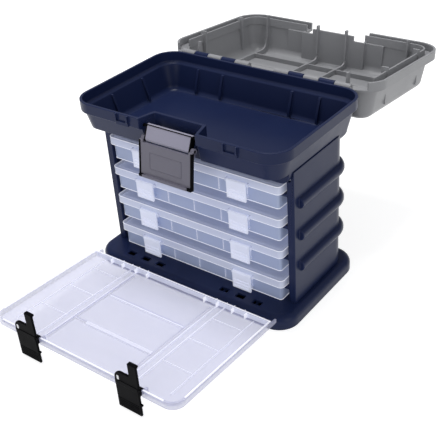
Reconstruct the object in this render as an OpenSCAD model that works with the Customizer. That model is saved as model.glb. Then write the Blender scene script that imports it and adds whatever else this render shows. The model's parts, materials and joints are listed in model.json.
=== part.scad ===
/* [Trays] */
// Height from one tray to the next
tray_pitch = 38.5; // [36:0.5:44]
// Height of a closed tray
tray_h = 28; // [26:0.5:30]
// Overall width of a tray lid
tray_w = 229; // [210:1:240]
// Overall depth of a tray lid, front to back
tray_d = 107; // [98:1:108]
// Height of the rim of a tray lid
tray_lid_h = 9.5; // [8:0.5:11]
// Wall thickness of the tray boxes and lids
tray_wall = 1.6; // [1.2:0.1:2.2]
// How far a tray lid overhangs its box
tray_overhang = 3.5; // [3:0.1:4.5]
// Corner radius of a tray lid
tray_r = 5.5; // [5.5:0.5:12]
// Cross dividers in each tray
divider_count = 5; // [2:1:7]
// Thickness of a divider
divider_t = 1.4; // [1:0.1:2]
// Distance of the tray latches from the middle
tray_latch_x = 64; // [50:1:80]
// Width of a tray latch
tray_latch_w = 24; // [18:1:30]
// How far the tray fronts stand out of the cabinet
tray_proud = 7.5; // [5:0.5:10]

/* [Cabinet] */
// Room between a tray and each side wall of the cabinet
side_room = 8; // [6:0.25:10]
// Distance of the front edge of the cabinet from the middle
cab_front = 47.5; // [45:0.5:50]
// Room behind the trays
tray_room = 5; // [3:0.5:10]
// Wall thickness of the cabinet
cab_wall = 4; // [3:0.25:4.5]
// Radius of the two rear corners
cab_r = 24; // [18:1:28]
// Width of the flange along the front edges
cab_flange = 8.5; // [7:0.25:9]
// How far the outer ribs stand out
rib_out = 5.5; // [3:0.25:7]
// Height of an outer rib
rib_h = 13; // [9:0.5:16]

/* [Base] */
// How far the base reaches out on each side of the cabinet
base_side = 9.5; // [8:0.5:12]
// Distance of the front of the base from the middle
base_front = 82; // [80:0.5:84]
// How far the base reaches out behind the cabinet
base_tail = 11; // [9:0.5:15]
// Height of the base
base_h = 16; // [15:0.5:18]
// Corner radius of the base
base_r = 24; // [20:1:30]
// Rounding of the upper edge of the base
base_edge = 8; // [6:0.5:10]
// Wall thickness of the base
base_wall = 3; // [2.5:0.25:4]

/* [Top bin] */
// How far the rim of the bin reaches out on each side of the cabinet
rim_side = 8.5; // [8:0.25:10]
// Overall depth over the rim of the bin
rim_d = 168; // [166:1:170]
// Corner radius of the rim
rim_r = 26; // [25:0.5:30]
// Height of the bin, underside to rim
bin_h = 47; // [44:0.5:52]
// Height of the rim band
rim_band = 12; // [10:0.5:13]
// How far the wall steps in under the rim band
rim_step = 4; // [3:0.25:5]
// How far the wall leans in towards the floor
bin_lean = 6; // [5:0.25:8]
// Rounding of the lower edge of the bin
bin_edge = 10; // [8:0.5:11]
// Wall and floor thickness of the bin
bin_wall = 3; // [2.5:0.25:3.5]
// Half width of the recess for the latch at its front
recess_hw = 37; // [36.5:0.25:39]
// Half width of the recess for the latch at its back
recess_back_hw = 31; // [30.5:0.25:34]
// Depth of the recess for the latch
recess_d = 20; // [18:0.5:26]
// How much higher the underside of the bin is in front of the trays
front_rise = 13.5; // [11:0.5:15]

/* [Lid] */
// How far the lid reaches out on each side of the rim
lid_side = 5; // [4.5:0.25:7]
// How far the lid reaches past the front of the rim
lid_front = 9; // [8.5:0.25:11]
// Corner radius of the lid
lid_r = 30; // [30:0.5:34]
// Height of the lid over the rim
lid_h = 40; // [37:0.5:46]
// How far the band of the lid hangs over the rim
lid_lap = 8; // [6:0.5:9]
// How far the wall of the lid steps in over its band
lid_step = 9; // [9:0.25:10]
// Wall thickness of the lid
lid_wall = 3; // [2.5:0.25:3.5]
// Opening angle of the lid as it rests
lid_angle = 185.4; // [175:0.1:190]
// Half width of the set-back for the latch in the front of the lid
notch_hw = 42; // [41:0.5:46]
// Depth of that set-back from the front of the lid
notch_d = 18; // [17:0.5:19]

/* [Handle] */
// Half width of the handle recess in the lid
handle_hw = 80; // [70:1:86]
// Length of the handle recess, front to back
handle_well = 54; // [52:1:60]
// Reach of the handle from its pivots to its grip
handle_reach = 34; // [30:0.5:36]
// Diameter of the grip
grip_d = 10; // [8:0.25:10]

/* [Latch] */
// Distance between the two pivots of the link
link_len = 12.5; // [12:0.25:13.5]
// Half width of the link
link_hw = 29.5; // [26:0.25:30]
// Half width of the flap
flap_hw = 34.5; // [34:0.25:36]
// Length of the flap below its pivot
flap_len = 41; // [38:0.5:42]
// Thickness of the flap
flap_t = 3; // [2.5:0.1:3.2]
// Angle of the link from straight down as it rests
link_hang = 24; // [22:0.5:26]
// Angle of the flap from straight down as it rests
flap_hang = 8; // [8:0.5:12]

/* [Door] */
// How far each side of the door stays inside the side of the cabinet
door_side = 2; // [1.5:0.25:5]
// Thickness of the door panel
door_t = 2.5; // [2:0.1:3]
// Depth of the flange around the door
door_flange = 8.5; // [7:0.25:9]
// Upward tilt of the door as it rests open
door_tilt = 3.75; // [2:0.25:4]
// Distance of the two hinges from the middle
door_hinge_x = 68; // [60:1:80]
// Distance of the two clips from the middle
clip_x = 69; // [60:1:76]
// Width of a clip
clip_w = 29; // [24:0.5:32]
// Width of the prong of a clip
prong_w = 10.5; // [8:0.5:12]

/* [Fits] */
// Radius of the hinge pins of the lid and the latch
pin_r = 1.5; // [1.2:0.1:1.7]
// Radial clearance of a pin in its bore
fit = 0.05; // [0.03:0.01:0.08]
// Gap between parts that move past each other
gap = 0.4; // [0.35:0.05:0.6]

/* [Hidden] */
$fn = 48;

navy = "#2a3152";
grey = "#8f8f8c";
black = "#18181b";
clear = "#d9daea";
steel = "#b8bac0";

tray_count = 4;                // tray bays, as many as the node list names
over = 1;                      // how far a cut runs past the face it opens
ARC = 6;                       // steps in the rounded edge of a moulded profile

// Widths, each from the one inside it
cab_w = tray_w + 2 * (side_room + cab_wall);
base_w = cab_w + 2 * base_side;
rim_w = cab_w + 2 * rim_side;
lid_w = rim_w + 2 * lid_side;
door_w = cab_w - 2 * door_side;

// Heights
tray_gap = 0.5;                // bottom tray over the deck of the base
top_gap = 5;                   // top tray under the bin
bin_z = base_h + tray_gap + (tray_count - 1) * tray_pitch + tray_h + top_gap;
rim_z = bin_z + bin_h;
band_z = rim_z - rim_band;
step_z = 2;                    // height of the slope under the rim band

// Points of a quarter arc from angle a0 to a1
function arc(cx, cz, r, a0, a1) =
  [for (i = [0 : ARC]) let (a = a0 + (a1 - a0) * i / ARC) [cx + r * cos(a), cz + r * sin(a)]];

// A rounded rectangle, half sizes hx and hy
module rounded(hx, hy, r) {
  square([2 * hx, 2 * (hy - r)], center = true);
  square([2 * (hx - r), 2 * hy], center = true);
  for (sx = [-1, 1], sy = [-1, 1]) translate([sx * (hx - r), sy * (hy - r)]) circle(r);
}

// A rounded slab between two heights
module slab(hx, hy, r, z0, z1) {
  translate([0, 0, z0]) linear_extrude(z1 - z0) rounded(hx, hy, r);
}

// A profile of points [out, z] extruded along X from x0 to x1, with its zero at y and facing +Y
module along_x(profile, x0, x1, y) {
  translate([x0, y, 0]) rotate([90, 0, 90]) linear_extrude(x1 - x0) polygon(profile);
}

// A profile swept around a rounded rectangle, out measured from its edge
module sweep(profile, hx, hy, r) {
  for (turn = [0, 180]) rotate([0, 0, turn]) {
    along_x(profile, -(hx - r), hx - r, hy);
    rotate([0, 0, -90]) along_x(profile, -(hy - r), hy - r, hx);
  }
  for (corner = [[1, 1, 0], [-1, 1, 90], [-1, -1, 180], [1, -1, 270]])
    translate([corner[0] * (hx - r), corner[1] * (hy - r), 0])
      rotate([0, 0, corner[2]]) rotate_extrude(angle = 90) translate([r, 0]) polygon(profile);
}

// A box between two corners
module block(a, b) {
  translate(a) cube([b[0] - a[0], b[1] - a[1], b[2] - a[2]]);
}

// A rod along X between x0 and x1
module rod(r, x0, x1, y = 0, z = 0) {
  translate([x0, y, z]) rotate([0, 90, 0]) cylinder(r = r, h = x1 - x0);
}

// Pieces turned about an axis along X through y and z
module about_x(y, z, deg) {
  translate([0, y, z]) rotate([deg, 0, 0]) children();
}

// Back of the cabinet, behind the trays
cab_back = tray_d - cab_front - tray_proud + tray_room + cab_wall;

// Base
base_back = cab_back + base_tail;
base_hy = (base_front + base_back) / 2;
base_y = (base_back - base_front) / 2;
base_rib_t = 3;                // ribs under the base
base_cells = [6, 3];           // hollow cells under the base, across and back
door_y = -(base_front + 5.8);  // axis of the door hinge, in front of the base
door_z = base_h - 4;
door_knuckle = 3.2;            // radius of the door hinge knuckles
lug_w = 8;                     // width of a hinge lug on the base
lug_rise = 1;                  // top of a hinge lug over its axis
slot = [11, 7];                // slots through the deck behind each hinge
slot_pitch = 22;
slot_in = 3;                   // rounded front edge of the deck to a slot
slot_y = -base_front + base_edge + slot_in;

base_points = concat([[-base_edge - over, 0], [0, 0]],
                     arc(-base_edge, base_h - base_edge, base_edge, 0, 90),
                     [[-base_edge - over, base_h]]);

module base() color(navy) {
  cell_x = (base_w - 2 * base_wall - (base_cells[0] + 1) * base_rib_t) / base_cells[0];
  cell_y = (2 * base_hy - 2 * base_wall - (base_cells[1] + 1) * base_rib_t) / base_cells[1];
  difference() {
    union() {
      translate([0, base_y, 0]) {
        slab(base_w / 2 - base_edge, base_hy - base_edge, base_r - base_edge, 0, base_h);
        sweep(base_points, base_w / 2, base_hy, base_r);
      }
      for (side = [-1, 1]) hinge_lug(side * door_hinge_x);
    }
    intersection() {
      translate([0, base_y, 0])
        slab(base_w / 2 - base_edge, base_hy - base_edge, base_r - base_edge, -over, base_h - base_wall);
      for (i = [0 : base_cells[0] - 1], j = [0 : base_cells[1] - 1])
        translate([-base_w / 2 + base_wall + base_rib_t + i * (cell_x + base_rib_t),
                   -base_front + base_wall + base_rib_t + j * (cell_y + base_rib_t), -over])
          cube([cell_x, cell_y, base_h - base_wall + over]);
    }
    for (side = [-1, 1], i = [-1 : 1])
      translate([side * door_hinge_x + i * slot_pitch - slot[0] / 2, slot_y, base_h - base_wall - over])
        cube([slot[0], slot[1], base_wall + 2 * over]);
    for (side = [-1, 1])
      rod(pin_r + fit, side * door_hinge_x - lug_w, side * door_hinge_x + lug_w, door_y, door_z);
  }
}

// A lug of the base that carries a door hinge pin
module hinge_lug(x) {
  rod(door_knuckle, x - lug_w / 2, x + lug_w / 2, door_y, door_z);
  block([x - lug_w / 2, door_y, door_z - door_knuckle],
        [x + lug_w / 2, -base_front + base_edge, door_z + lug_rise]);
}

// Cabinet
runner_in = side_room + tray_overhang - gap;   // how far a runner reaches in
runner_t = 3.5;
rib_start = 9;                 // front edge of the cabinet to the outer ribs
rib_y = -cab_front + rib_start;
rib_root = 1;                  // how deep an outer rib is rooted in the wall
rib_drop = 12.5;               // middle of an outer rib under the underside of a tray lid
cab_seat = 12;                 // how far the walls reach up around the bin

function tray_z(i) = base_h + tray_gap + (tray_count - i) * tray_pitch;
function runner_z(i) = tray_z(i) + tray_h - tray_lid_h - gap;

// Plan of the cabinet, drawn in by an inset
module cabinet_plan(inset) {
  hx = cab_w / 2 - inset;
  r = cab_r - inset;
  back = cab_back - inset;
  translate([-hx, -cab_front]) square([2 * hx, cab_front + back - r]);
  translate([-hx + r, -cab_front]) square([2 * (hx - r), cab_front + back]);
  for (side = [-1, 1]) translate([side * (hx - r), back - r]) circle(r);
}

// An outer rib along both sides and around the back
module outer_rib(z) {
  profile = concat([[-rib_root, z - rib_h / 2], [0, z - rib_h / 2]],
                   [for (i = [1 : ARC]) let (a = -90 + 180 * i / (ARC + 1))
                     [rib_out * cos(a), z + rib_h / 2 * sin(a)]],
                   [[0, z + rib_h / 2], [-rib_root, z + rib_h / 2]]);
  hx = cab_w / 2;
  along_x(profile, -hx + cab_r, hx - cab_r, cab_back);
  for (turn = [90, -90]) rotate([0, 0, turn])
    along_x(profile, turn > 0 ? rib_y : -(cab_back - cab_r), turn > 0 ? cab_back - cab_r : -rib_y, hx);
  for (side = [0, 1])
    translate([(1 - 2 * side) * (hx - cab_r), cab_back - cab_r, 0])
      rotate([0, 0, 90 * side]) rotate_extrude(angle = 90) translate([cab_r, 0]) polygon(profile);
}

module cabinet() color(navy) {
  difference() {
    union() {
      translate([0, 0, base_h]) linear_extrude(bin_z + cab_seat - base_h) difference() {
        cabinet_plan(0);
        translate([0, -over]) cabinet_plan(cab_wall);
      }
      for (side = [-1, 1])
        block([side > 0 ? cab_w / 2 - cab_flange : -cab_w / 2, -cab_front, base_h],
              [side > 0 ? cab_w / 2 : -cab_w / 2 + cab_flange, -cab_front + cab_wall, bin_z]);
      for (i = [1 : tray_count - 1]) outer_rib(runner_z(i) - rib_drop);
      for (i = [1 : tray_count], side = [0, 1]) mirror([side, 0, 0])
        block([cab_w / 2 - cab_wall - runner_in, -cab_front, runner_z(i) - runner_t],
              [cab_w / 2 - cab_wall / 2, cab_back - cab_r, runner_z(i)]);
    }
    bin_outside();
  }
}

// Top bin
bin_low = -rim_step - bin_lean;             // out of the wall where the lower rounding starts
bin_in = bin_low - bin_edge;                // out of the flat floor
bin_outer_points = concat(
  [[0, rim_z], [0, band_z], [-rim_step, band_z - step_z]],
  arc(bin_in, bin_z + bin_edge, bin_edge, 0, -90));
bin_inner_points = concat(
  arc(bin_in, bin_z + bin_edge, bin_edge - bin_wall, -90, 0),
  [[-rim_step - bin_wall, band_z - step_z], [-bin_wall, band_z + 1], [-bin_wall, rim_z]]);
floor_z = bin_z + bin_wall;
recess_y = -rim_d / 2 + recess_d;           // back face of the latch recess
front_z = bin_z + front_rise;               // underside of the raised front
front_deep = 30;                            // rim to the back of the raised front
front_y = -rim_d / 2 + front_deep;
bin_rib_t = 3;
bin_rib_out = 4;
bin_rib_x = [47.5, 83];                     // ribs on the back wall
bin_rib_y = [-25, 27];                      // ribs on the end walls
bin_rib_z = band_z - 3;
bin_root = 1;                               // how deep ribs and knuckles are rooted in the walls

// The outer form of the bin, filled
module bin_outside() {
  sweep(concat(bin_outer_points, [[bin_in, rim_z]]), rim_w / 2, rim_d / 2, rim_r);
  slab(rim_w / 2 + bin_in, rim_d / 2 + bin_in, rim_r + bin_in, bin_z, rim_z);
}

// Hinge of the lid: stretches of the hinge along one half, bin and lid in turn
hinge_out = 4.5;                            // hinge axis behind the rim
hinge_drop = 2;                             // hinge axis under the rim
hinge_y = rim_d / 2 + hinge_out;
hinge_z = rim_z - hinge_drop;
knuckle_r = 4;
knuckle_w = 19.4;
hinge_x0 = 17;                              // inner end of the hinge on each half
function knuckle_x(i) = hinge_x0 + i * knuckle_w;

// Stretch number i of one half, or with a clearance the room that it needs
module knuckle(i, side, clearance = 0) {
  x0 = knuckle_x(i) + gap / 2 - clearance;
  x1 = knuckle_x(i + 1) - gap / 2 + clearance;
  rod(knuckle_r + clearance, side > 0 ? x0 : -x1, side > 0 ? x1 : -x0, hinge_y, hinge_z);
}

// Latch pivots
link_in = 6.8;                              // link pivot behind the front of the rim
link_drop = 9;                              // link pivot under the rim
link_y = -rim_d / 2 + link_in;
link_z = rim_z - link_drop;
flap_y = link_y - link_len * sin(link_hang);
flap_z = link_z - link_len * cos(link_hang);
latch_barrel = 3;

// Length of the door, and the clip on its far edge
door_near = 5.2;                            // hinge axis to the near edge of the door
door_top_gap = 25.8;                        // far edge of the closed door under the rim band
door_len = band_z - door_top_gap - door_z - door_near;
clip_in = 3.3;                              // clip pivot inside the far edge
prong_up = 35.7;                            // top of the prong over the pivot of its clip
hook_h = 2.5;                               // height of the hook on the prong

// Catches on the rim for the door clips
prong_past = 1;                             // how far the prong stands past the side of its clip
prong_x = clip_w / 2 - prong_w / 2 + prong_past;   // middle of the prong from the middle of its clip
catch_out = 1.8;
catch_gap = 0.3;                            // catch under the hook of a closed clip
catch_z = door_z + door_near + door_len - clip_in + prong_up - hook_h - catch_gap;
cheek_t = 2;
cheek_gap = 1.5;                            // prong to a cheek of its catch
cheek_low = 4;                              // lower edge of the band to a cheek
catch_hw = prong_w / 2 + cheek_gap + cheek_t;

module clip_catch(x) {
  block([x - catch_hw, -rim_d / 2 - catch_out, band_z], [x + catch_hw, -rim_d / 2 + over, catch_z]);
  for (side = [-1, 1])
    translate([x + side * (catch_hw - cheek_t / 2), -rim_d / 2, 0])
      block([-cheek_t / 2, -1.5 * catch_out, band_z + cheek_low], [cheek_t / 2, over, rim_z]);
}

// Plan of the latch recess, grown by a wall
module recess_plan(wall) {
  front = recess_hw + wall;
  back = recess_back_hw + wall;
  polygon([[-front, -rim_d / 2 - over], [front, -rim_d / 2 - over],
           [back, recess_y + wall], [-back, recess_y + wall]]);
}

// The walls of the latch recess and the step behind the raised front
module bin_front() {
  intersection() {
    bin_outside();
    union() {
      translate([0, 0, front_z]) linear_extrude(bin_h) recess_plan(bin_wall);
      block([-rim_w / 2, -rim_d / 2, front_z], [rim_w / 2, front_y + bin_wall, front_z + bin_wall]);
      block([-rim_w / 2, front_y, bin_z], [rim_w / 2, front_y + bin_wall, front_z + bin_wall]);
    }
  }
}

// One knuckle of the bin with its root in the rim
module bin_knuckle(i, side) {
  knuckle(i, side);
  translate([side > 0 ? knuckle_x(i) + gap / 2 : -knuckle_x(i + 1) + gap / 2,
             rim_d / 2 - bin_wall / 2, hinge_z - knuckle_r])
    cube([knuckle_w - gap, hinge_y - rim_d / 2 + bin_wall / 2, knuckle_r + bin_root]);
}

module top_bin() color(navy) {
  difference() {
    union() {
      sweep(concat(bin_outer_points, bin_inner_points), rim_w / 2, rim_d / 2, rim_r);
      slab(rim_w / 2 + bin_in, rim_d / 2 + bin_in, rim_r + bin_in, bin_z, floor_z);
      bin_front();
      bin_ribs();
      for (side = [-1, 1]) clip_catch(side * clip_x + prong_x);
      for (side = [-1, 1], i = [1, 3]) bin_knuckle(i, side);
    }
    block([-rim_w / 2, -rim_d / 2 - over, bin_z - over], [rim_w / 2, front_y, front_z]);
    translate([0, 0, bin_z - over]) linear_extrude(bin_h + 2 * over) recess_plan(0);
    for (side = [-1, 1]) hinge_bore(side);
    rod(pin_r + fit, -recess_hw - bin_wall - over, recess_hw + bin_wall + over, link_y, link_z);
  }
}

// Ribs inside the bin on the back and end walls
module bin_ribs() {
  wall_low = bin_low - bin_wall;
  rib_low = floor_z - bin_wall / 2;
  profile = [[wall_low + bin_root, bin_z + bin_edge], [-rim_step - bin_wall + bin_root, bin_rib_z],
             [-rim_step - bin_wall - bin_rib_out / 2, bin_rib_z],
             [wall_low - bin_rib_out, bin_z + bin_edge],
             [wall_low - bin_rib_out, rib_low], [wall_low - bin_rib_out / 2, rib_low]];
  for (side = [-1, 1], x = bin_rib_x)
    along_x(profile, side * x - bin_rib_t / 2, side * x + bin_rib_t / 2, rim_d / 2);
  for (turn = [90, -90], y = bin_rib_y) rotate([0, 0, turn])
    along_x(profile, -y * sign(turn) - bin_rib_t / 2, -y * sign(turn) + bin_rib_t / 2, rim_w / 2);
}

// Bore through the five knuckles of one half of the hinge
module hinge_bore(side) {
  x0 = knuckle_x(0) - over;
  x1 = knuckle_x(5) + over;
  rod(pin_r + fit, side > 0 ? x0 : -x1, side > 0 ? x1 : -x0, hinge_y, hinge_z);
}

module lid_hinge_pin(side) color(steel) {
  x0 = knuckle_x(0) + gap;
  x1 = knuckle_x(5) - gap;
  rod(pin_r, side > 0 ? x0 : -x1, side > 0 ? x1 : -x0, hinge_y, hinge_z);
}

// Lid, drawn closed on the rim and then swung open
seat_gap = 0.3;                             // closed lid over the rim
lid_seat = rim_z + seat_gap;
lid_low = rim_z - lid_lap;
lid_rear = 3;                               // how far the lid reaches past the back of the rim
lid_back = rim_d / 2 + lid_rear;
lid_hy = (rim_d / 2 + lid_front + lid_back) / 2;
lid_y = (lid_back - rim_d / 2 - lid_front) / 2;
lid_hx = lid_w / 2;
lid_top = rim_z + lid_h;
lid_lean = 4;
lid_edge = 10;
lid_flange = 2.7;
lid_slope = 1;                              // rise of the step over the flange
lid_in = -lid_step - lid_lean - lid_edge;
lid_fillet = 12;                            // rounding inside the lid, between its walls and its top
lid_round = -lid_step - lid_lean - lid_wall - lid_fillet;
lid_points = concat(
  [[0, lid_low], [0, lid_seat + lid_flange], [-lid_step, lid_seat + lid_flange + lid_slope]],
  arc(lid_in, lid_top - lid_edge, lid_edge, 0, 90),
  arc(lid_round, lid_top - lid_wall - lid_fillet, lid_fillet, 90, 0),
  [[-lid_step - lid_wall, lid_seat], [-lid_wall, lid_seat], [-lid_wall, lid_low]]);

// Handle well in the lid
well_wall = 6;
well_back = 27;                             // back edge of the lid to the well
well_y1 = lid_back - well_back;
well_y0 = well_y1 - handle_well;
well_floor = 1.5;                           // room under the folded grip
well_z = lid_top - grip_d - well_floor;
pivot_back = 12;                            // well's back edge to the handle pivot
handle_y = well_y1 - pivot_back;            // handle pivot with the lid closed
handle_low = 1;                             // folded grip under the top of the lid
handle_z = lid_top - grip_d / 2 - handle_low;
trunnion_r = 3;
trunnion_skin = 1.5;                        // wall left outside a trunnion
trunnion_end = 0.5;                         // end play of a trunnion

// Ribs inside the lid
lid_rib_t = 2.5;
lid_rib_mid = 20.4;                         // the two middle ribs, ending at the set-back
lid_rib_far = 101;                          // the two outer ribs, with a tab at both ends
lid_rib_y = [-47, 33];                      // ribs on the end walls
lid_rib_out = 7;
lid_rib_root = 1;                           // how deep a rib is rooted in the shell
lid_cross_y = -45;                          // low rib along the lid
lid_cross_h = 6;
rear_cut = 22;                              // rim to the front of the cut that frees the back edge
knuckle_root = 10;                          // length of the root of a lid knuckle
tab_drop = 12.5;                            // how far the tabs of the ribs hang inside the rim
tab_in = 5.5;                               // front of a tab from the outside of the rim
tab_t = 4;
flap_lip = 3;                               // height of the lip on the end of the flap
ridge_h = 3.5;
hook_gap = 0.5;                             // lip of the closed flap over the ridge
ridge_z = link_z + flap_len - flap_lip - ridge_h - hook_gap;   // ridge that the flap hooks over
notch_y = -rim_d / 2 - lid_front + notch_d; // back of the set-back
notch_in = 0.7;                             // front of the rim to the cheeks of the set-back
pad_hw = 69;                                // half width of the thicker stretch of the front wall
pad_t = 4.5;
skirt_hw = 29.5;                            // half width of the skirt that hangs from the set-back
skirt_drop = 6;
lip_h = 8;                                  // inner lip, hanging inside the rim
lip_t = 2;

// Profile of the inner lip, out measured from the outside of the lid
lip_gap = 0.5;
lip_out = -lid_step - lid_wall - lip_gap;
lip_top = lid_seat + lip_t;
lip_points = [[lip_out, rim_z - lip_h], [lip_out, lid_seat + lip_gap],
              [lip_out + lid_rib_root, lid_seat + lip_gap], [lip_out + lid_rib_root, lip_top],
              [lip_out - lip_t, lip_top], [lip_out - lip_t, rim_z - lip_h]];

// Space inside the outer face of the lid, over its seat
module lid_outside() translate([0, lid_y, 0]) {
  sweep(concat([[-lid_step, lid_seat]], arc(lid_in, lid_top - lid_edge, lid_edge, 0, 90),
               [[lid_in, lid_seat]]), lid_hx, lid_hy, lid_r);
  slab(lid_hx + lid_in, lid_hy + lid_in, lid_r + lid_in, lid_seat, lid_top);
}

module lid_body() {
  difference() {
    union() {
      translate([0, lid_y, 0]) {
        sweep(lid_points, lid_hx, lid_hy, lid_r);
        slab(lid_hx + lid_in, lid_hy + lid_in, lid_r + lid_in, lid_top - lid_wall, lid_top);
      }
      block([-handle_hw - well_wall, well_y0 - lid_wall, well_z - lid_wall],
            [handle_hw + well_wall, well_y1 + lid_wall, lid_top - lid_wall / 2]);
      lid_ribs();
      block([-notch_hw - lid_wall, -rim_d / 2 + notch_in, lid_seat],
            [notch_hw + lid_wall, notch_y + lid_wall, ridge_z + ridge_h]);
      intersection() {
        lid_outside();
        union() {
          block([-notch_hw - lid_wall, -rim_d / 2 + notch_in, lid_seat + over],
                [notch_hw + lid_wall, notch_y + lid_wall, lid_top - lid_wall / 2]);
          block([-pad_hw, -rim_d / 2 + lid_wall - over, lid_seat + over],
                [pad_hw, -rim_d / 2 + lid_wall + pad_t, lid_top - lid_wall / 2]);
        }
      }
      translate([0, lid_y, 0]) sweep(lip_points, lid_hx, lid_hy, lid_r);
    }
    block([-handle_hw, well_y0, well_z], [handle_hw, well_y1, lid_top + over]);
    rod(trunnion_r + fit, -handle_hw - well_wall + trunnion_skin, handle_hw + well_wall - trunnion_skin,
        handle_y, handle_z);
    block([-lid_hx - over, rim_d / 2 - rear_cut, lid_low - over], [lid_hx + over, lid_back + over, lid_seat]);
    block([-notch_hw, -rim_d / 2 - lid_front - over, lid_low - over], [notch_hw, notch_y, ridge_z]);
    block([-notch_hw, -rim_d / 2 - lid_front - over, ridge_z + ridge_h],
          [notch_hw, notch_y, lid_top - lid_wall]);
    block([-notch_hw - lid_wall - over, notch_y - over, lid_low - over],
          [notch_hw + lid_wall + over, notch_y + lid_wall + over, lid_seat]);
  }
  block([-skirt_hw, notch_y, rim_z - skirt_drop], [skirt_hw, notch_y + lid_wall, lid_seat + over]);
  for (side = [-1, 1]) {
    rib_tab(side * lid_rib_mid, notch_y + lid_wall - over);
    rib_tab(side * lid_rib_far, -rim_d / 2 + tab_in);
    rib_tab(side * lid_rib_far, lid_back - lid_step - lid_wall - tab_t - over);
  }
}

// A tab on the end of a rib, its front at y
module rib_tab(x, y) {
  block([x - lid_rib_t / 2, y, rim_z - tab_drop], [x + lid_rib_t / 2, y + tab_t + over, ridge_z]);
}

// Ribs across the lid, one along it, and ribs with tabs on its end walls
module lid_ribs() {
  root = lid_rib_root;
  y0 = -rim_d / 2 - lid_front + lid_step + 2 * root;
  y1 = lid_back - lid_step - 2 * root;
  top = lid_top - lid_wall + root;
  low = lid_seat + notch_in;
  in0 = y0 - root + lid_rib_out;
  in1 = y1 + root - lid_rib_out;
  edge = lid_lean + lid_edge;
  for (side = [-1, 1], x = [lid_rib_mid, lid_rib_far])
    translate([side * x - lid_rib_t / 2, 0, 0]) rotate([90, 0, 90]) linear_extrude(lid_rib_t) difference() {
      polygon([[y0, low], [y0 + lid_lean, lid_top - lid_edge], [y0 - root + edge, top],
               [y1 + root - edge, top], [y1 - lid_lean, lid_top - lid_edge], [y1, low]]);
      polygon(concat([[in0, lid_seat]],
                     arc(in0 + edge, top - lid_rib_out - lid_edge, lid_edge, 180, 90),
                     arc(in1 - edge, top - lid_rib_out - lid_edge, lid_edge, 90, 0),
                     [[in1, lid_seat]]));
    }
  block([-lid_rib_far, lid_cross_y - lid_rib_t / 2, lid_top - lid_wall - lid_cross_h],
        [lid_rib_far, lid_cross_y + lid_rib_t / 2, lid_top - lid_wall / 2]);
  for (side = [0, 1], y = lid_rib_y) mirror([side, 0, 0])
    block([lid_hx - lid_step - lid_wall - lid_rib_out, y - lid_rib_t / 2, rim_z - tab_drop],
          [lid_hx - lid_step - lid_wall + root, y + lid_rib_t / 2, lid_top - lid_edge]);
}

module lid_knuckles() {
  for (side = [-1, 1], i = [0, 2, 4]) {
    knuckle(i, side);
    translate([side > 0 ? knuckle_x(i) + gap / 2 : -knuckle_x(i + 1) + gap / 2,
               hinge_y - knuckle_root, lid_seat])
      cube([knuckle_w - gap, knuckle_root, hinge_z + knuckle_r - lid_seat]);
  }
}

// Anything of the lid, swung open about the hinge
module on_lid() {
  about_x(hinge_y, hinge_z, -lid_angle) translate([0, -hinge_y, -hinge_z]) children();
}

module lid() color(grey) on_lid() difference() {
  union() {
    difference() {
      lid_body();
      for (side = [-1, 1], i = [1, 3]) knuckle(i, side, gap);
    }
    lid_knuckles();
  }
  for (side = [-1, 1]) hinge_bore(side);
}

// Handle, hanging from the open lid
arm_w = 9;
arm_r = grip_d / 2 - handle_low;
module handle() color(grey) on_lid() about_x(handle_y, handle_z, lid_angle - 180) {
  rod(grip_d / 2, -handle_hw + gap + arm_w / 2, handle_hw - gap - arm_w / 2, 0, handle_reach);
  for (side = [0, 1]) mirror([side, 0, 0]) {
    block([handle_hw - gap - arm_w, -arm_r, 0], [handle_hw - gap, arm_r, handle_reach]);
    rod(arm_r, handle_hw - gap - arm_w, handle_hw - gap);
    rod(grip_d / 2, handle_hw - gap - arm_w, handle_hw - gap, 0, handle_reach);
    rod(trunnion_r, handle_hw - gap - over, handle_hw + well_wall - trunnion_skin - trunnion_end);
  }
}

// Latch
link_t = 4;                                 // thickness of the link between its barrels
flap_root = 0.5;                            // how deep the barrels sink into the flap
flap_out = latch_barrel + flap_t - flap_root;      // outer face of the flap from its pivot

module latch_link() color(black) about_x(link_y, link_z, -link_hang) difference() {
  union() {
    rod(latch_barrel, -link_hw, link_hw);
    rod(latch_barrel, -link_hw, link_hw, 0, -link_len);
    block([-link_hw, -latch_barrel, -link_len], [link_hw, link_t - latch_barrel, 0]);
  }
  for (z = [0, -link_len]) rod(pin_r + fit, -link_hw - over, link_hw + over, 0, z);
}

module latch_flap() color(black) about_x(flap_y, flap_z, -flap_hang) difference() {
  ear = link_hw + gap;
  union() {
    for (side = [0, 1]) mirror([side, 0, 0]) {
      rod(latch_barrel, ear, flap_hw);
      block([ear, -flap_out, -2 * latch_barrel], [flap_hw, 0, 0]);
    }
    block([-flap_hw, -flap_out, -flap_len], [flap_hw, -flap_out + flap_t, -latch_barrel - gap]);
    block([-link_hw, -flap_out - flap_t, -flap_len], [link_hw, -flap_out + flap_root, -flap_len + flap_lip]);
  }
  rod(pin_r + fit, -flap_hw - over, flap_hw + over);
}

module latch_pin_upper() color(steel)
  rod(pin_r, -recess_hw, recess_hw, link_y, link_z);

module latch_pin_lower() color(steel)
  rod(pin_r, -flap_hw + flap_root, flap_hw - flap_root, flap_y, flap_z);

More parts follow.
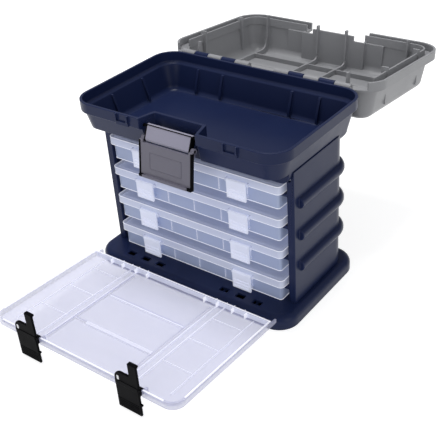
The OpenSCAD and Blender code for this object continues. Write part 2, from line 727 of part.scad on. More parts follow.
// Door, drawn flat in front of its hinge and then tilted; inside face up
door_low = 2;                               // outer face of the panel over the hinge axis
tab_w = 15;
tab_mid = lug_w / 2 + gap + tab_w / 2;      // middle of a hinge tab from the middle of its hinge
door_r = 14;                                // rounding of the far corners
flange_t = 2.2;
ear_len = 10;                               // how far the side flanges reach past the near edge
ear_h = 5;
door_rib_t = 2.4;
door_rib_h = 2;
door_rib_x = 54;                            // the two ribs along the door
door_rib_end = 12;                          // their ends from the near and far edges
door_ribs = [54, 106];                      // ribs between them, from the near edge
rib_sink = 0.5;                             // how deep the ribs sink into the panel
clip_y = -(door_near + door_len - clip_in); // clip pivot in the frame of the door
clip_z = 6;
clip_lug = 3;
clip_bay = clip_w / 2 + gap;                // half width of the gap in the door for a clip
bay_y = clip_y + latch_barrel + gap;        // back of that gap

module on_door() {
  about_x(door_y, door_z, -door_tilt) children();
}

// Plan of the door panel, drawn in by an inset
module door_plan(inset) {
  hx = door_w / 2 - inset;
  r = door_r - inset;
  far = -(door_near + door_len) + inset;
  near = -door_near - inset;
  translate([-hx, far + r]) square([2 * hx, near - far - r]);
  translate([-hx + r, far]) square([2 * (hx - r), r + over]);
  for (side = [-1, 1]) translate([side * (hx - r), far + r]) circle(r);
}

// Ribs on the inside of the door
module door_inside() {
  low = door_low + door_t - rib_sink;
  top = door_low + door_t + door_rib_h;
  near = -door_near - door_rib_end;
  far = -door_near - door_len + door_rib_end;
  for (x = [-door_rib_x, door_rib_x])
    block([x - door_rib_t / 2, far, low], [x + door_rib_t / 2, near, top]);
  for (y = door_ribs)
    block([-door_rib_x, -door_near - y - door_rib_t / 2, low],
          [door_rib_x, -door_near - y + door_rib_t / 2, top]);
}

module door() color(clear) on_door() difference() {
  union() {
    difference() {
      union() {
        translate([0, 0, door_low]) linear_extrude(door_t) door_plan(0);
        translate([0, 0, door_low]) linear_extrude(door_flange) difference() {
          door_plan(0);
          door_plan(flange_t);
        }
      }
      for (side = [-1, 1])
        block([side * clip_x - clip_bay, -door_near - door_len - over, door_low - over],
              [side * clip_x + clip_bay, bay_y, door_low + door_flange + over]);
    }
    door_inside();
    for (side = [0, 1]) mirror([side, 0, 0])
      block([door_w / 2 - flange_t, -door_near - over, door_low],
            [door_w / 2, -door_near + ear_len, door_low + ear_h]);
    for (side = [-1, 1], tab = [-1, 1]) translate([side * door_hinge_x + tab * tab_mid, 0, 0]) {
      rod(door_knuckle, -tab_w / 2, tab_w / 2);
      block([-tab_w / 2, -door_near - over, door_low], [tab_w / 2, 0, door_low + door_t]);
    }
    for (side = [-1, 1], lug = [-1, 1])
      translate([side * clip_x + lug * (clip_bay + clip_lug / 2), 0, door_low])
        block([-clip_lug / 2, -door_near - door_len, 0], [clip_lug / 2, bay_y, door_flange]);
  }
  for (side = [-1, 1]) {
    rod(pin_r + fit, side * door_hinge_x - tab_mid - tab_w, side * door_hinge_x + tab_mid + tab_w);
    rod(pin_r + fit, side * clip_x - clip_bay - clip_lug - over, side * clip_x + clip_bay + clip_lug + over,
        clip_y, clip_z);
  }
}

module door_hinge_pin(side) color(steel) translate([side * door_hinge_x, door_y, door_z])
  rod(pin_r, -tab_mid - tab_w / 2, tab_mid + tab_w / 2);

// Clips, hanging from the far edge of the door
clip_t = 2.6;
clip_off = 4.4;                             // inner face of the plate in front of its pivot
clip_down = 27;
clip_up = 19.4;
shoulder_r = 9;                             // rounding of the upper corner away from the prong
prong_low = 6;                              // foot of the prong over the pivot, clear of the lug beside it
hook_in = 1.8;

module on_clip(side) {
  on_door() translate([side * clip_x, clip_y, clip_z]) rotate([door_tilt, 0, 0]) children();
}

// Front view of a clip
module clip_plan() {
  hw = clip_w / 2;
  translate([-hw, -clip_down]) square([clip_w, clip_down + clip_up - shoulder_r]);
  translate([-hw + shoulder_r, 0]) square([clip_w - shoulder_r, clip_up]);
  translate([-hw + shoulder_r, clip_up - shoulder_r]) circle(shoulder_r);
  translate([prong_x - prong_w / 2, prong_low]) square([prong_w, prong_up - prong_low]);
}

module clip(side) color(black) on_clip(side) difference() {
  union() {
    rod(latch_barrel, -clip_w / 2, clip_w / 2);
    block([-clip_w / 2, -clip_off - clip_t / 2, -latch_barrel], [clip_w / 2, 0, latch_barrel]);
    translate([0, -clip_off, 0]) rotate([90, 0, 0]) linear_extrude(clip_t) clip_plan();
    block([prong_x - prong_w / 2, -clip_off - clip_t / 2, prong_up - hook_h],
          [prong_x + prong_w / 2, -clip_off + hook_in, prong_up]);
  }
  rod(pin_r + fit, -clip_w / 2 - over, clip_w / 2 + over);
}

module clip_pin(side) color(clear) on_clip(side) rod(pin_r, -clip_bay - clip_lug, clip_bay + clip_lug);

// Trays, drawn with the underside of the box at z = 0
tray_y = -cab_front - tray_proud + tray_d / 2;      // middle of a tray
box_hx = tray_w / 2 - tray_overhang;
box_hy = tray_d / 2 - tray_overhang;
box_r = tray_r - tray_overhang + 1;
lid_panel = 1.8;                                    // how deep the panel of a tray lid is sunk
lid_rest = 0.1;                                     // box under the panel of its lid
box_top = tray_h - lid_panel - tray_wall - lid_rest;
latch_drop = 7;                                     // latch axis under the top of the lid
latch_out = 2.3;                                    // latch axis in front of the lid
latch_axis_z = tray_h - latch_drop;
latch_axis_y = -tray_d / 2 - latch_out;
latch_pin = 1;
latch_knuckle = 2.2;
latch_lug = 2;
latch_low = 1.2;                                    // lower end of a tray latch
latch_plate = 2.2;
catch_ridge = 3.6;
ridge_inset = 2;                                    // end of a catch ridge from the side of its latch
ridge_low = 4.5;
ridge_top = 6.5;
latch_hook = 2.6;                                   // how far the hook of a latch reaches in
hook_inset = 3;
panel_in = 3 * tray_wall;                           // edge of the lid to its sunk panel
divider_drop = 4;                                   // top of the dividers under the top of the box
tray_root = 0.5;                                    // how deep ridges and lugs are rooted

module tray(i) {
  translate([0, tray_y, tray_z(i)]) children();
}

module tray_box(i) color(clear) tray(i) {
  difference() {
    slab(box_hx, box_hy, box_r, 0, box_top);
    slab(box_hx - tray_wall, box_hy - tray_wall, box_r - tray_wall, tray_wall, box_top + over);
  }
  for (side = [-1, 1])
    block([side * tray_latch_x - tray_latch_w / 2 + ridge_inset, -box_hy - catch_ridge, ridge_low],
          [side * tray_latch_x + tray_latch_w / 2 - ridge_inset, -box_hy + tray_root, ridge_top]);
}

module tray_lid(i) color(clear) tray(i) {
  difference() {
    slab(tray_w / 2, tray_d / 2, tray_r, tray_h - tray_lid_h, tray_h);
    slab(tray_w / 2 - tray_wall, tray_d / 2 - tray_wall, tray_r - tray_wall,
         tray_h - tray_lid_h - over, tray_h - lid_panel - tray_wall);
    slab(tray_w / 2 - panel_in, tray_d / 2 - panel_in, tray_r - panel_in, tray_h - lid_panel, tray_h + over);
  }
  for (side = [-1, 1], lug = [-1, 1])
    translate([side * tray_latch_x + lug * (tray_latch_w / 2 + gap + latch_lug / 2), 0, 0])
      block([-latch_lug / 2, latch_axis_y - latch_pin, latch_axis_z - latch_knuckle],
            [latch_lug / 2, -tray_d / 2 + tray_root, latch_axis_z + latch_knuckle]);
  for (side = [-1, 1])
    rod(latch_pin, side * tray_latch_x - tray_latch_w / 2 - gap - latch_lug / 2,
        side * tray_latch_x + tray_latch_w / 2 + gap + latch_lug / 2, latch_axis_y, latch_axis_z);
}

module tray_dividers(i) color(clear) tray(i) {
  inner = 2 * (box_hx - tray_wall);
  for (k = [1 : divider_count])
    block([-inner / 2 + k * inner / (divider_count + 1) - divider_t / 2, -box_hy + tray_wall, tray_wall],
          [-inner / 2 + k * inner / (divider_count + 1) + divider_t / 2, box_hy - tray_wall,
           box_top - divider_drop]);
}

module tray_latch(i, side) color(clear) tray(i)
  translate([side * tray_latch_x, latch_axis_y, latch_axis_z]) difference() {
    hw = tray_latch_w / 2;
    low = latch_low - latch_axis_z;
    union() {
      rod(latch_knuckle, -hw, hw);
      block([-hw, -latch_knuckle, low], [hw, -latch_knuckle + latch_plate, 0]);
      block([-hw + hook_inset, -latch_knuckle + over, low], [hw - hook_inset, latch_hook, low + latch_lug]);
    }
    rod(latch_pin + fit, -hw - over, hw + over);
  }

base();
cabinet();
top_bin();
lid();
handle();
lid_hinge_pin(-1);  // lid_hinge_pin_left
lid_hinge_pin(1);  // lid_hinge_pin_right
latch_link();
latch_flap();
latch_pin_upper();
latch_pin_lower();
door();
door_hinge_pin(-1);  // door_hinge_pin_left
door_hinge_pin(1);  // door_hinge_pin_right
clip(-1);  // clip_left
clip(1);  // clip_right
clip_pin(-1);  // clip_pin_left
clip_pin(1);  // clip_pin_right
for (i = [1 : tray_count]) {
  tray_box(i);
  tray_lid(i);
  tray_dividers(i);
  tray_latch(i, -1);
  tray_latch(i, 1);
}
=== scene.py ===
import json
import math

import bmesh
import bpy
from mathutils import Matrix, Vector


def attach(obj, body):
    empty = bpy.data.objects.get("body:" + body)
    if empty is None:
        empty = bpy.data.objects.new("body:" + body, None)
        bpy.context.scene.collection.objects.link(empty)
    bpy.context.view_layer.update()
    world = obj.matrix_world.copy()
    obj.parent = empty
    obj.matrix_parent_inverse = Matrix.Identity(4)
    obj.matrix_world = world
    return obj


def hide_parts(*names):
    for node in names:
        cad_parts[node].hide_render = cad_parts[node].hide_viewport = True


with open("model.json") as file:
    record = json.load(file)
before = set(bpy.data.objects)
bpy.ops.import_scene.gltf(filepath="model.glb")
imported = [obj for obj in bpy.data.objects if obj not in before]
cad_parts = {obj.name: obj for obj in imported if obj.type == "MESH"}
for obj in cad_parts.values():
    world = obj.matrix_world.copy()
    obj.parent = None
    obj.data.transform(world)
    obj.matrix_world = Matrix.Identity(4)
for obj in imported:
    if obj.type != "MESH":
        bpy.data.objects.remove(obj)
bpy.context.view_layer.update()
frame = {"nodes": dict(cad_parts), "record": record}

MM = 0.001
SIDES = (-1, 1)

nodes = frame["nodes"]
bodies = frame["record"]["behaviour"]["bodies"]
body_of = {n: b for b, members in bodies.items() for n in members}
slot_of = {p["node"]: p["material_slot"] for p in frame["record"]["subparts"]}


# Materials

NOISE_LOW, NOISE_HIGH = 0.3, 0.7       # the part of a noise's range that is used
TONE_SCALE = 9.0                       # broad drift of a moulding's colour
GLOSS_SCALE = 55.0                     # drift of its roughness
GLOSS_DRIFT = 0.03
GRAIN_SCALE = 1800.0
GRAIN_DEPTH = 0.00006
FLOW_SCALE = 4.0                       # flow marks in clear plastic, drawn out along X
FLOW_STRETCH = (2.0, 6.0, 6.0)
CLEAR_GLOSS_SCALE = 8.0
CLEAR_GLOSS_DRIFT = 0.02
CLEAR_IOR = 1.49
DRAW_SCALE = 400.0                     # drawing marks along a steel pin
DRAW_STRETCH = (0.05, 1.0, 1.0)


class Tree:
    """A small help for wiring a node material."""

    def __init__(self, name):
        self.mat = bpy.data.materials.new(name)
        self.mat.use_nodes = True
        self.t = self.mat.node_tree
        self.t.nodes.clear()
        out = self.add("ShaderNodeOutputMaterial")
        self.bsdf = self.add("ShaderNodeBsdfPrincipled")
        self.join(self.bsdf.outputs[0], out.inputs["Surface"])
        self.coord = self.add("ShaderNodeTexCoord").outputs["Object"]

    def add(self, kind, **values):
        n = self.t.nodes.new(kind)
        for k, v in values.items():
            setattr(n, k, v)
        return n

    def join(self, a, b):
        self.t.links.new(a, b)

    def set(self, **values):
        for k, v in values.items():
            self.bsdf.inputs[k.replace("_", " ")].default_value = v

    def math(self, operation, a, b=None):
        n = self.add("ShaderNodeMath", operation=operation)
        self.join(a, n.inputs[0])
        if b is not None:
            self.join(b, n.inputs[1])
        return n.outputs[0]

    def noise(self, scale, detail, stretch=None):
        n = self.add("ShaderNodeTexNoise")
        n.inputs["Scale"].default_value = scale
        n.inputs["Detail"].default_value = detail
        if stretch:
            m = self.add("ShaderNodeMapping")
            m.inputs["Scale"].default_value = stretch
            self.join(self.coord, m.inputs["Vector"])
            self.join(m.outputs[0], n.inputs["Vector"])
        else:
            self.join(self.coord, n.inputs["Vector"])
        return n.outputs["Fac"]

    def ramp(self, fac, low, high):
        r = self.add("ShaderNodeValToRGB")
        first, last = r.color_ramp.elements
        first.position, last.position = NOISE_LOW, NOISE_HIGH
        first.color, last.color = low, high
        self.join(fac, r.inputs[0])
        return r.outputs[0]

    def spread(self, fac, low, high):
        m = self.add("ShaderNodeMapRange")
        m.inputs["From Min"].default_value = NOISE_LOW
        m.inputs["From Max"].default_value = NOISE_HIGH
        m.inputs["To Min"].default_value = low
        m.inputs["To Max"].default_value = high
        self.join(fac, m.inputs["Value"])
        return m.outputs[0]

    def bump(self, fac, strength, distance):
        b = self.add("ShaderNodeBump")
        b.inputs["Strength"].default_value = strength
        b.inputs["Distance"].default_value = distance
        self.join(fac, b.inputs["Height"])
        self.join(b.outputs[0], self.bsdf.inputs["Normal"])


def rgba(r, g, b):
    return (r, g, b, 1.0)


def moulded(name, dark, light, rough, bump=0.2, spec=0.5):
    """Moulded plastic: broad tone drift, fine grain and a roughness that wanders."""
    t = Tree(name)
    t.join(t.ramp(t.noise(TONE_SCALE, 3.0), dark, light), t.bsdf.inputs["Base Color"])
    gloss = t.spread(t.noise(GLOSS_SCALE, 4.0), rough - GLOSS_DRIFT, rough + GLOSS_DRIFT)
    t.join(gloss, t.bsdf.inputs["Roughness"])
    t.bump(t.noise(GRAIN_SCALE, 2.0), bump, GRAIN_DEPTH)
    t.set(Specular_IOR_Level=spec)
    return t.mat


def clear(name, dark, light, alpha, rough, spec=0.5, painted_glow=0.0, top=None):
    """Translucent plastic with broad flow marks.

    Its glow is painted light, an emission that stands for the light that clear plastic carries to its edges,
    and top thins the faces that look up or down.
    """
    t = Tree(name)
    flow = t.noise(FLOW_SCALE, 2.0, FLOW_STRETCH)
    t.join(t.ramp(flow, dark, light), t.bsdf.inputs["Base Color"])
    cover = t.spread(flow, *alpha)
    if top is not None:
        split = t.add("ShaderNodeSeparateXYZ")
        t.join(t.add("ShaderNodeNewGeometry").outputs["Normal"], split.inputs[0])
        level = t.math("ABSOLUTE", split.outputs["Z"])
        cover = t.math("MULTIPLY", cover, t.spread(level, 1.0, top))
    t.join(cover, t.bsdf.inputs["Alpha"])
    gloss = t.spread(t.noise(CLEAR_GLOSS_SCALE, 1.0), rough - CLEAR_GLOSS_DRIFT, rough + CLEAR_GLOSS_DRIFT)
    t.join(gloss, t.bsdf.inputs["Roughness"])
    t.set(IOR=CLEAR_IOR, Specular_IOR_Level=spec, Emission_Color=light, Emission_Strength=painted_glow)
    return t.mat


def metal(name):
    """Drawn steel wire."""
    t = Tree(name)
    draw = t.noise(DRAW_SCALE, 2.0, DRAW_STRETCH)
    t.join(t.ramp(draw, rgba(0.46, 0.47, 0.49), rgba(0.6, 0.61, 0.63)), t.bsdf.inputs["Base Color"])
    t.join(t.spread(draw, 0.22, 0.36), t.bsdf.inputs["Roughness"])
    t.set(Metallic=1.0)
    return t.mat


NAVY = moulded("navy_moulded", rgba(0.0110, 0.0185, 0.0640), rgba(0.0135, 0.0225, 0.0740), 0.32, spec=0.17)
GREY = moulded("grey_moulded", rgba(0.292, 0.295, 0.310), rgba(0.328, 0.331, 0.346), 0.36, spec=0.40)
BLACK = moulded("black_moulded", rgba(0.0025, 0.0025, 0.0034), rgba(0.0040, 0.0040, 0.0054), 0.50, spec=0.03)
# Painted reflection: the black plastic of the flap and of the link is coloured grey and lavender, standing
# for the bright floor reflected in their broad faces; the link, tilted up, is lighter still.
BLACK_SHEEN = moulded("black_painted_sheen", rgba(0.136, 0.130, 0.172), rgba(0.160, 0.153, 0.200), 0.34, bump=0.1)
LINK_SHEEN = moulded("link_painted_sheen", rgba(0.31, 0.30, 0.39), rgba(0.36, 0.35, 0.44), 0.30, bump=0.1)
# In the clear plastics below, the glow is painted light: an emission that stands for light carried through
# the plastic.
DOOR = clear("door_clear", rgba(0.59, 0.60, 0.80), rgba(0.62, 0.63, 0.82), (0.40, 0.44), 0.16, painted_glow=0.04)
TRAY = clear("tray_clear", rgba(0.53, 0.61, 0.83), rgba(0.57, 0.65, 0.87), (0.46, 0.50), 0.16, painted_glow=0.07)
TRAY_LID = clear("tray_lid_clear", rgba(0.78, 0.82, 0.99), rgba(0.82, 0.86, 1.00), (0.52, 0.56), 0.12,
                 painted_glow=0.09, top=0.72)
DIVIDER = clear("divider_clear", rgba(0.80, 0.84, 0.98), rgba(0.86, 0.89, 1.00), (0.36, 0.40), 0.16)
# Painted highlight: near-white plastic with a strong painted glow, for bright edges, ribs and rims.
EDGE_HIGHLIGHT = clear("clear_painted_highlight", rgba(0.92, 0.93, 1.00), rgba(0.97, 0.97, 1.00), (0.62, 0.70), 0.10,
             spec=0.8, painted_glow=0.30)
FROST = clear("latch_frost", rgba(0.84, 0.87, 0.98), rgba(0.88, 0.90, 1.00), (0.58, 0.64), 0.25, painted_glow=0.20)
# Painted highlight: pale plastic with a painted glow, for the bright lines, bars and divider ends.
PALE_HIGHLIGHT = clear("door_painted_highlight", rgba(0.86, 0.87, 0.98), rgba(0.90, 0.91, 1.00), (0.46, 0.54), 0.14, painted_glow=0.22)
STEEL = metal("pin_steel")

LOOK = {"navy_plastic": NAVY, "grey_plastic": GREY, "black_plastic": BLACK, "clear_plastic": TRAY,
        "steel": STEEL}


# Pieces

BEVEL_SEGMENTS = 2
SHARP = math.radians(32.0)             # edges of a CAD node that bend more than this are rounded off
PIECE_SHARP = math.radians(40.0)       # edges of a new piece that bend more than this are shaded sharp
COPLANAR = math.radians(0.6)           # faces that bend less than this are merged
SAME_POINT = 2e-6
SHORTEST_EDGE = 1e-6
CORNER_STEPS = 6                       # points of a path around one corner
BEAD_SIDES = 8
BLOCK_FACES = ((3, 2, 1, 0), (4, 5, 6, 7), (0, 1, 5, 4), (1, 2, 6, 5), (2, 3, 7, 6), (3, 0, 4, 7))


def finish_piece(obj, body, slot, mat, *replaced):
    obj.data.materials.clear()
    obj.data.materials.append(mat)
    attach(obj, body)
    if replaced:
        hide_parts(*replaced)


def round_edges(obj, width):
    m = obj.modifiers.new("edges", "BEVEL")
    m.width = width * MM
    m.segments = BEVEL_SEGMENTS
    m.limit_method = "ANGLE"
    m.angle_limit = SHARP
    m.use_clamp_overlap = False
    m.miter_outer = "MITER_ARC"
    flat = obj.modifiers.new("flat_faces", "WEIGHTED_NORMAL")
    flat.weight = 100
    flat.keep_sharp = True


def shade(bm, sharp):
    for edge in bm.edges:
        edge.smooth = edge.is_manifold and edge.calc_face_angle(0.0) < sharp


def show(name, mesh, bevel):
    """An object of a mesh, shaded smooth between its sharp edges."""
    for poly in mesh.polygons:
        poly.use_smooth = True
    obj = bpy.data.objects.new(name, mesh)
    bpy.context.scene.collection.objects.link(obj)
    if bevel:
        round_edges(obj, bevel)
    return obj


def dress(node, mat, bevel, merge):
    """A copy of a CAD node with softer edges, which stands for it."""
    mesh = nodes[node].data.copy()
    mesh.name = node + "_mesh"
    bm = bmesh.new()
    bm.from_mesh(mesh)
    bmesh.ops.remove_doubles(bm, verts=bm.verts, dist=SAME_POINT)
    bmesh.ops.dissolve_degenerate(bm, dist=SHORTEST_EDGE, edges=bm.edges)
    if merge:
        bmesh.ops.dissolve_limit(bm, angle_limit=COPLANAR, verts=bm.verts, edges=bm.edges)
    shade(bm, SHARP)
    bm.to_mesh(mesh)
    bm.free()
    finish_piece(show(node + "_shown", mesh, bevel), body_of[node], slot_of[node], mat, node)


def mesh_piece(name, verts, faces, body, slot, mat, bevel=0.0):
    """A mesh from points in millimetres."""
    mesh = bpy.data.meshes.new(name)
    mesh.from_pydata([Vector(v) * MM for v in verts], [], faces)
    bm = bmesh.new()
    bm.from_mesh(mesh)
    bmesh.ops.recalc_face_normals(bm, faces=bm.faces)
    shade(bm, PIECE_SHARP)
    bm.to_mesh(mesh)
    bm.free()
    finish_piece(show(name, mesh, bevel), body, slot, mat)


def blocks(name, corners, place, body, slot, mat, bevel):
    """Small blocks, each between two corners in a local frame."""
    verts, faces = [], []
    for lo, hi in corners:
        n = len(verts)
        for z in (lo[2], hi[2]):
            for x, y in ((lo[0], lo[1]), (hi[0], lo[1]), (hi[0], hi[1]), (lo[0], hi[1])):
                verts.append(place @ Vector((x, y, z)))
        faces += [tuple(n + i for i in f) for f in BLOCK_FACES]
    mesh_piece(name, verts, faces, body, slot, mat, bevel)


def across(x, half, y, z):
    """Corners of a block that is centred on x; y and z are its ranges."""
    return ((x - half, y[0], z[0]), (x + half, y[1], z[1]))


def along(x, y, half, z):
    """Corners of a block that is centred on y; x and z are its ranges."""
    return ((x[0], y - half, z[0]), (x[1], y + half, z[1]))


def rounded_path(cx, cy, hx, hy, r):
    """Points and outward directions around a rounded rectangle."""
    path = []
    for sx, sy, start in ((1, 1, 0), (-1, 1, 90), (-1, -1, 180), (1, -1, 270)):
        for i in range(CORNER_STEPS + 1):
            a = math.radians(start + 90.0 * i / CORNER_STEPS)
            path.append((cx + sx * (hx - r) + r * math.cos(a), cy + sy * (hy - r) + r * math.sin(a),
                         math.cos(a), math.sin(a)))
    return path


def beads(name, rings, body, slot, mat):
    """Thin round beads along closed paths: each ring is a path, its height, and its bead's radius."""
    verts, faces = [], []
    for path, z, radius in rings:
        n = len(verts)
        for x, y, nx, ny in path:
            for k in range(BEAD_SIDES):
                a = 2 * math.pi * k / BEAD_SIDES
                d = radius * math.cos(a)
                verts.append((x + nx * d, y + ny * d, z + radius * math.sin(a)))
        count = len(path)
        for i in range(count):
            here, there = n + i * BEAD_SIDES, n + (i + 1) % count * BEAD_SIDES
            for k in range(BEAD_SIDES):
                after = (k + 1) % BEAD_SIDES
                faces.append((here + k, there + k, there + after, here + after))
    mesh_piece(name, verts, faces, body, slot, mat)


def turned(y, z, deg):
    """Frame of a piece that is turned about an axis along X."""
    return Matrix.Translation((0, y, z)) @ Matrix.Rotation(math.radians(deg), 4, "X")


# CAD nodes, each shown by a copy with rounded edges

BEVEL = {"base": 0.5, "cabinet": 0.7, "top_bin": 0.5, "lid": 0.4, "handle": 1.0, "latch_link": 0.5,
         "latch_flap": 0.5, "door": 0.4, "clip_left": 0.6, "clip_right": 0.6}
OTHER_BEVEL = 0.35
PIN_BEVEL = 0.2
TRAYS = range(1, 5)
WHOLE = ("lid", "top_bin") + tuple("tray_%d_lid" % i for i in TRAYS)      # nodes whose faces aren't merged


def look_of(node):
    """Material and edge rounding of a node."""
    mat, bevel = LOOK[slot_of[node]], BEVEL.get(node, OTHER_BEVEL)
    special = {"latch_link": LINK_SHEEN, "latch_flap": BLACK_SHEEN, "door": DOOR}
    if node in special:
        return special[node], bevel
    if node.startswith("tray") and "latch" in node:
        return FROST, bevel
    if node.endswith("dividers"):
        return DIVIDER, 0.0
    if node.startswith("tray") and node.endswith("lid"):
        return TRAY_LID, bevel
    if node.startswith("latch_pin"):
        return BLACK, PIN_BEVEL
    if "pin" in node:
        return mat, PIN_BEVEL
    return mat, bevel


for name in nodes:
    dress(name, *look_of(name), merge=name not in WHOLE)


# Latch: dark rails and corners on the flap, a faint frame on its face in the flap's painted reflection
# colour, dark ends on the link

FLAP_FRAME = turned(-82.284, 191.581, -8.0)
FRAME_X, FRAME_LOW, FRAME_TOP, FRAME_LINE = 21.0, -31.2, -12.8, 0.8
FRAME_Y = (-5.9, -5.3)
blocks("flap_rails",
       [across(s * 33.7, 1.1, (-6.2, -2.2), (-41.3, -1.0)) for s in SIDES]
       + [across(s * 30.2, 4.5, (-7.4, -2.4), (-41.5, -38.0)) for s in SIDES],
       FLAP_FRAME, "latch_flap", "black_plastic", BLACK, 0.5)
blocks("flap_frame",
       [across(0, FRAME_X, FRAME_Y, (z, z + FRAME_LINE)) for z in (FRAME_LOW, FRAME_TOP - FRAME_LINE)]
       + [across(s * (FRAME_X - FRAME_LINE / 2), FRAME_LINE / 2, FRAME_Y, (FRAME_LOW, FRAME_TOP))
          for s in SIDES],
       FLAP_FRAME, "latch_flap", "black_plastic", BLACK_SHEEN, 0.15)
LINK_FRAME = turned(-77.2, 203.0, -24.0)
blocks("link_ends",
       [across(s * 29.0, 0.9, (-3.5, 3.4), (-15.6, 2.0)) for s in SIDES]
       + [across(0, 28.4, (-3.35, -1.6), (0.8, 2.0))],
       LINK_FRAME, "latch_link", "black_plastic", BLACK, 0.8)


# Clips: grip ridges, side nubs, a raised band and the clear end of the pivot, made bright with a painted
# highlight

CLIP_X = 69.0
CLIP_AXIS = (-245.967, 28.380)
GRIP_Z = (-25, -22.6, -20.2, -17.8, -15.4)
GRIP_LINE = 0.9
for side, body in zip(SIDES, ("clip_left", "clip_right")):
    place = Matrix.Translation((side * CLIP_X, *CLIP_AXIS))
    blocks(body + "_grip",
           [across(0, 12.5, (-7.35, -6.9), (z, z + GRIP_LINE)) for z in GRIP_Z]
           + [((14.0, -6.8, -13.4), (16.8, -4.6, -11.4)), ((14.0, -6.8, 6.0), (17.2, -4.6, 7.6)),
              ((-13.9, -7.5, 3.4), (14.2, -6.8, 8.6))],
           place, body, "black_plastic", BLACK, 0.25)
    blocks(body + "_glint", [((-10.8, -7.6, 9.6), (-8.4, -6.9, 14.4))],
           place, body, "clear_plastic", EDGE_HIGHLIGHT, 0.4)


# Trays: edges made bright with a painted highlight, ribs on their latches, and the ends of the dividers on
# their fronts, pale with a painted glow

TRAY_LOW = 16.5                        # underside of the lowest tray
TRAY_PITCH = 38.5
TRAY_Y = -1.5
LATCH_X = 64
RIB_Z = (3.2, 7.2, 11.2)
RIB_LINE = 1.7
DIVIDER_X = (-72.9, -36.5, 0.0, 36.5, 72.9)
LID_PATH = rounded_path(0, TRAY_Y, 114.2, 53.2, 5.2)
BOX_PATH = rounded_path(0, TRAY_Y, 110.8, 49.8, 2.8)
for i in TRAYS:
    body = "tray_%d" % i
    low = TRAY_LOW + (len(TRAYS) - i) * TRAY_PITCH
    beads(body + "_edges",
          [(LID_PATH, low + 27.6, 0.45), (LID_PATH, low + 18.9, 0.45), (BOX_PATH, low + 0.5, 0.5)],
          body, "clear_plastic", EDGE_HIGHLIGHT)
    for side, x in (("left", -LATCH_X), ("right", LATCH_X)):
        latch = "%s_latch_%s" % (body, side)
        blocks(latch + "_ribs",
               [across(x, 10.0, (-60.2, -59.3), (low + z, low + z + RIB_LINE)) for z in RIB_Z],
               Matrix(), latch, "clear_plastic", FROST, 0.2)
    blocks(body + "_divider_ends",
           [across(x, 0.8, (-51.5, -50.4), (low + 2.0, low + 17.0)) for x in DIVIDER_X],
           Matrix(), body, "clear_plastic", PALE_HIGHLIGHT, 0.2)


# Base: dark plates under the deck, behind the slots, a painted shade for the dark inside of the base seen
# through them

HINGE_X = 68.0                         # middle of a door hinge
blocks("deck_painted_shade", [((s * HINGE_X - 45.0, -79.0, 9.6), (s * HINGE_X + 36.0, -46.0, 10.4)) for s in SIDES],
       Matrix(), "root", "navy_plastic", BLACK, 0.1)


# Door: pale lines on the panel, brightened with a painted highlight, and bars that are a painted reflection;
# ribs and a frosted face on the near flange; and the edges of the flanges and of the hinge tabs, bright with
# a painted highlight

DOOR_FRAME = turned(-87.8, 12.0, -3.75)
PANEL = 4.3                            # height at which lines are rooted in the panel
FLANGE = 10.0                          # height at which edges are rooted in the flanges
FLANGE_EDGE = (FLANGE, 10.6)
BAND_X, BAND_HALF = 62.0, 4.5          # middle and half width of a band between two lines
CROSS_Y = (-30.0, -70.0, -112.0)
TAB_X, TAB_HALF = 11.9, 6.9            # middle of a hinge tab from its hinge, and its half width
blocks("door_bands",
       [across(s * BAND_X + e * BAND_HALF, 0.7, (-158.0, -8.0), (PANEL, 5.6)) for e in SIDES for s in SIDES]
       + [across(s * 105.5, 0.5, (-146.0, -10.0), (PANEL, 5.2)) for s in SIDES]
       + [along(x, y, 0.5, (PANEL, 5.1)) for x in ((-104.0, -67.5), (67.5, 104.0)) for y in CROSS_Y],
       DOOR_FRAME, "door", "clear_plastic", PALE_HIGHLIGHT, 0.2)
# Painted reflection: two pale bars standing for bright streaks reflected across the panel.
blocks("door_painted_reflections",
       [along((-37.0, 53.0), -111.5, 2.1, (PANEL, 7.0)), along((-50.0, 53.0), -60.1, 1.3, (PANEL, 6.4))],
       DOOR_FRAME, "door", "clear_plastic", PALE_HIGHLIGHT, 0.6)
blocks("door_flange_ribs",
       [across(s * HINGE_X + d, 0.7, (-11.5, -5.4), (PANEL, FLANGE))
        for s in SIDES for d in (-27.0, -10.0, 10.0, 27.0)],
       DOOR_FRAME, "door", "clear_plastic", EDGE_HIGHLIGHT, 0.3)
blocks("door_edges",
       [across(0, 124.3, (-7.3, -5.3), FLANGE_EDGE)]
       + [across(s * 123.4, 1.0, (-147.0, -6.0), FLANGE_EDGE) for s in SIDES]
       + [across(0, 52.0, (-162.1, -160.1), FLANGE_EDGE)]
       + [across(s * 97.5, 12.5, (-162.1, -160.1), FLANGE_EDGE) for s in SIDES],
       DOOR_FRAME, "door", "clear_plastic", EDGE_HIGHLIGHT, 0.2)
blocks("door_near_face", [across(0, 122.0, (-7.7, -7.2), (4.6, 9.9))],
       DOOR_FRAME, "door", "clear_plastic", FROST, 0.15)
blocks("door_tab_edges",
       [across(s * HINGE_X + d * TAB_X + e * TAB_HALF, 0.4, (-5.0, 2.4), (1.0, 4.9))
        for s in SIDES for d in SIDES for e in SIDES],
       DOOR_FRAME, "door", "clear_plastic", EDGE_HIGHLIGHT, 0.2)


# Lid: its band goes on around the rear corners, drawn on the closed lid and swung open with it

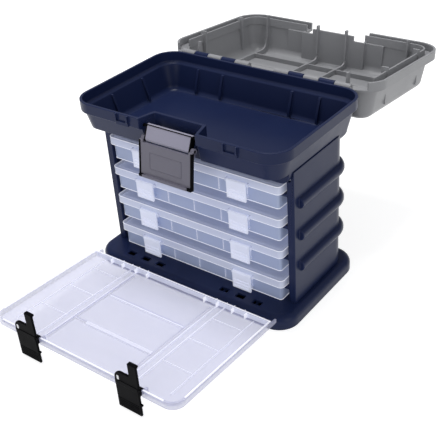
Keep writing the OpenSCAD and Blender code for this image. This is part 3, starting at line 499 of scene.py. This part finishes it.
LID_AXIS = Vector((0, 88.5, 210.0))
LID_OPEN = -185.4
CORNER_X, CORNER_Y = 110.0, 57.0       # middle of a rear corner's rounding
BAND = ((30.0, 204.0), (30.0, 213.0), (27.0, 213.0), (27.0, 204.0))      # radius and height of its four edges
BAND_ANGLES = [math.radians(8.0 + 3.0 * i) for i in range(15)]
opened = (Matrix.Translation(LID_AXIS) @ Matrix.Rotation(math.radians(LID_OPEN), 4, "X")
          @ Matrix.Translation(-LID_AXIS))
for side, word in zip(SIDES, ("left", "right")):
    verts = [opened @ Vector((side * (CORNER_X + r * math.cos(a)), CORNER_Y + r * math.sin(a), z))
             for a in BAND_ANGLES for r, z in BAND]
    last = 4 * (len(BAND_ANGLES) - 1)
    faces = [(n + k, n + (k + 1) % 4, n + 4 + (k + 1) % 4, n + 4 + k)
             for n in range(0, last, 4) for k in range(4)]
    faces += [(0, 1, 2, 3), (last + 3, last + 2, last + 1, last)]
    mesh_piece("lid_corner_" + word, verts, faces, "lid", "grey_plastic", GREY, 0.4)


# Stage, light and camera

FLOOR_SIZE = 12.0
FLOOR_GLOW = (0.08, 0.80)              # of the floor as it lights the object, and as it is seen


def stage_floor():
    bpy.ops.mesh.primitive_plane_add(size=FLOOR_SIZE, location=(0, 0, 0))
    floor = bpy.context.object
    floor.name = "floor"
    t = Tree("floor_pale")
    tone = t.ramp(t.noise(3.0, 2.0), rgba(0.50, 0.50, 0.50), rgba(0.52, 0.52, 0.52))
    t.join(tone, t.bsdf.inputs["Base Color"])
    t.set(Roughness=0.9, Specular_IOR_Level=0.1, Emission_Color=(1, 1, 1, 1))
    path = t.add("ShaderNodeLightPath")
    seen = path.outputs["Is Camera Ray"]
    for ray in ("Is Glossy Ray", "Is Transmission Ray"):
        seen = t.math("MAXIMUM", seen, path.outputs[ray])
    t.join(t.spread(seen, *FLOOR_GLOW), t.bsdf.inputs["Emission Strength"])
    floor.data.materials.append(t.mat)


def world_light(strength):
    """Soft light from all round, seen as plain white."""
    world = bpy.data.worlds.new("studio")
    bpy.context.scene.world = world
    world.use_nodes = True
    t = world.node_tree
    t.nodes.clear()
    out = t.nodes.new("ShaderNodeOutputWorld")
    mix = t.nodes.new("ShaderNodeMixShader")
    soft = t.nodes.new("ShaderNodeBackground")
    white = t.nodes.new("ShaderNodeBackground")
    path = t.nodes.new("ShaderNodeLightPath")
    soft.inputs["Color"].default_value = (0.97, 0.98, 1.0, 1)
    soft.inputs["Strength"].default_value = strength
    white.inputs["Color"].default_value = (1.0, 1.0, 1.0, 1)
    white.inputs["Strength"].default_value = 1.0
    seen = t.nodes.new("ShaderNodeMath")
    seen.operation = "MAXIMUM"
    t.links.new(path.outputs["Is Camera Ray"], seen.inputs[0])
    t.links.new(path.outputs["Is Transmission Ray"], seen.inputs[1])
    t.links.new(seen.outputs[0], mix.inputs["Fac"])
    t.links.new(soft.outputs[0], mix.inputs[1])
    t.links.new(white.outputs[0], mix.inputs[2])
    t.links.new(mix.outputs[0], out.inputs["Surface"])


def sun(name, direction, angle, strength):
    """A broad soft light from one side, as from a large diffuser."""
    lamp = bpy.data.lights.new(name, "SUN")
    lamp.energy = strength
    lamp.angle = math.radians(angle)
    obj = bpy.data.objects.new(name, lamp)
    obj.rotation_euler = Vector(direction).to_track_quat("Z", "Y").to_euler()
    bpy.context.scene.collection.objects.link(obj)


def photo_camera():
    """The camera that was fitted to the photograph."""
    cam = bpy.data.cameras.new("photo_camera")
    cam.sensor_width = 36.0
    cam.lens = 67.64
    cam.clip_start = 0.05
    obj = bpy.data.objects.new("photo_camera", cam)
    right = Vector((0.80432, 0.59075, -0.06377))
    up = Vector((-0.27679, 0.46747, 0.83956))
    back = Vector((0.52578, -0.65763, 0.53951))
    turn = Matrix((right, up, back)).transposed()
    obj.matrix_world = Matrix.Translation((0.5018, -0.6360, 0.5742)) @ turn.to_4x4()
    bpy.context.scene.collection.objects.link(obj)
    bpy.context.scene.camera = obj


stage_floor()
world_light(0.40)
sun("right", (0.90, -0.25, 0.35), angle=30.0, strength=0.36)
sun("front", (0.0, -0.97, 0.12), angle=40.0, strength=0.62)
sun("key", (-0.18, 0.12, 0.97), angle=22.0, strength=1.85)
photo_camera()
bpy.context.scene.view_settings.view_transform = "Standard"

bpy.context.view_layer.update()
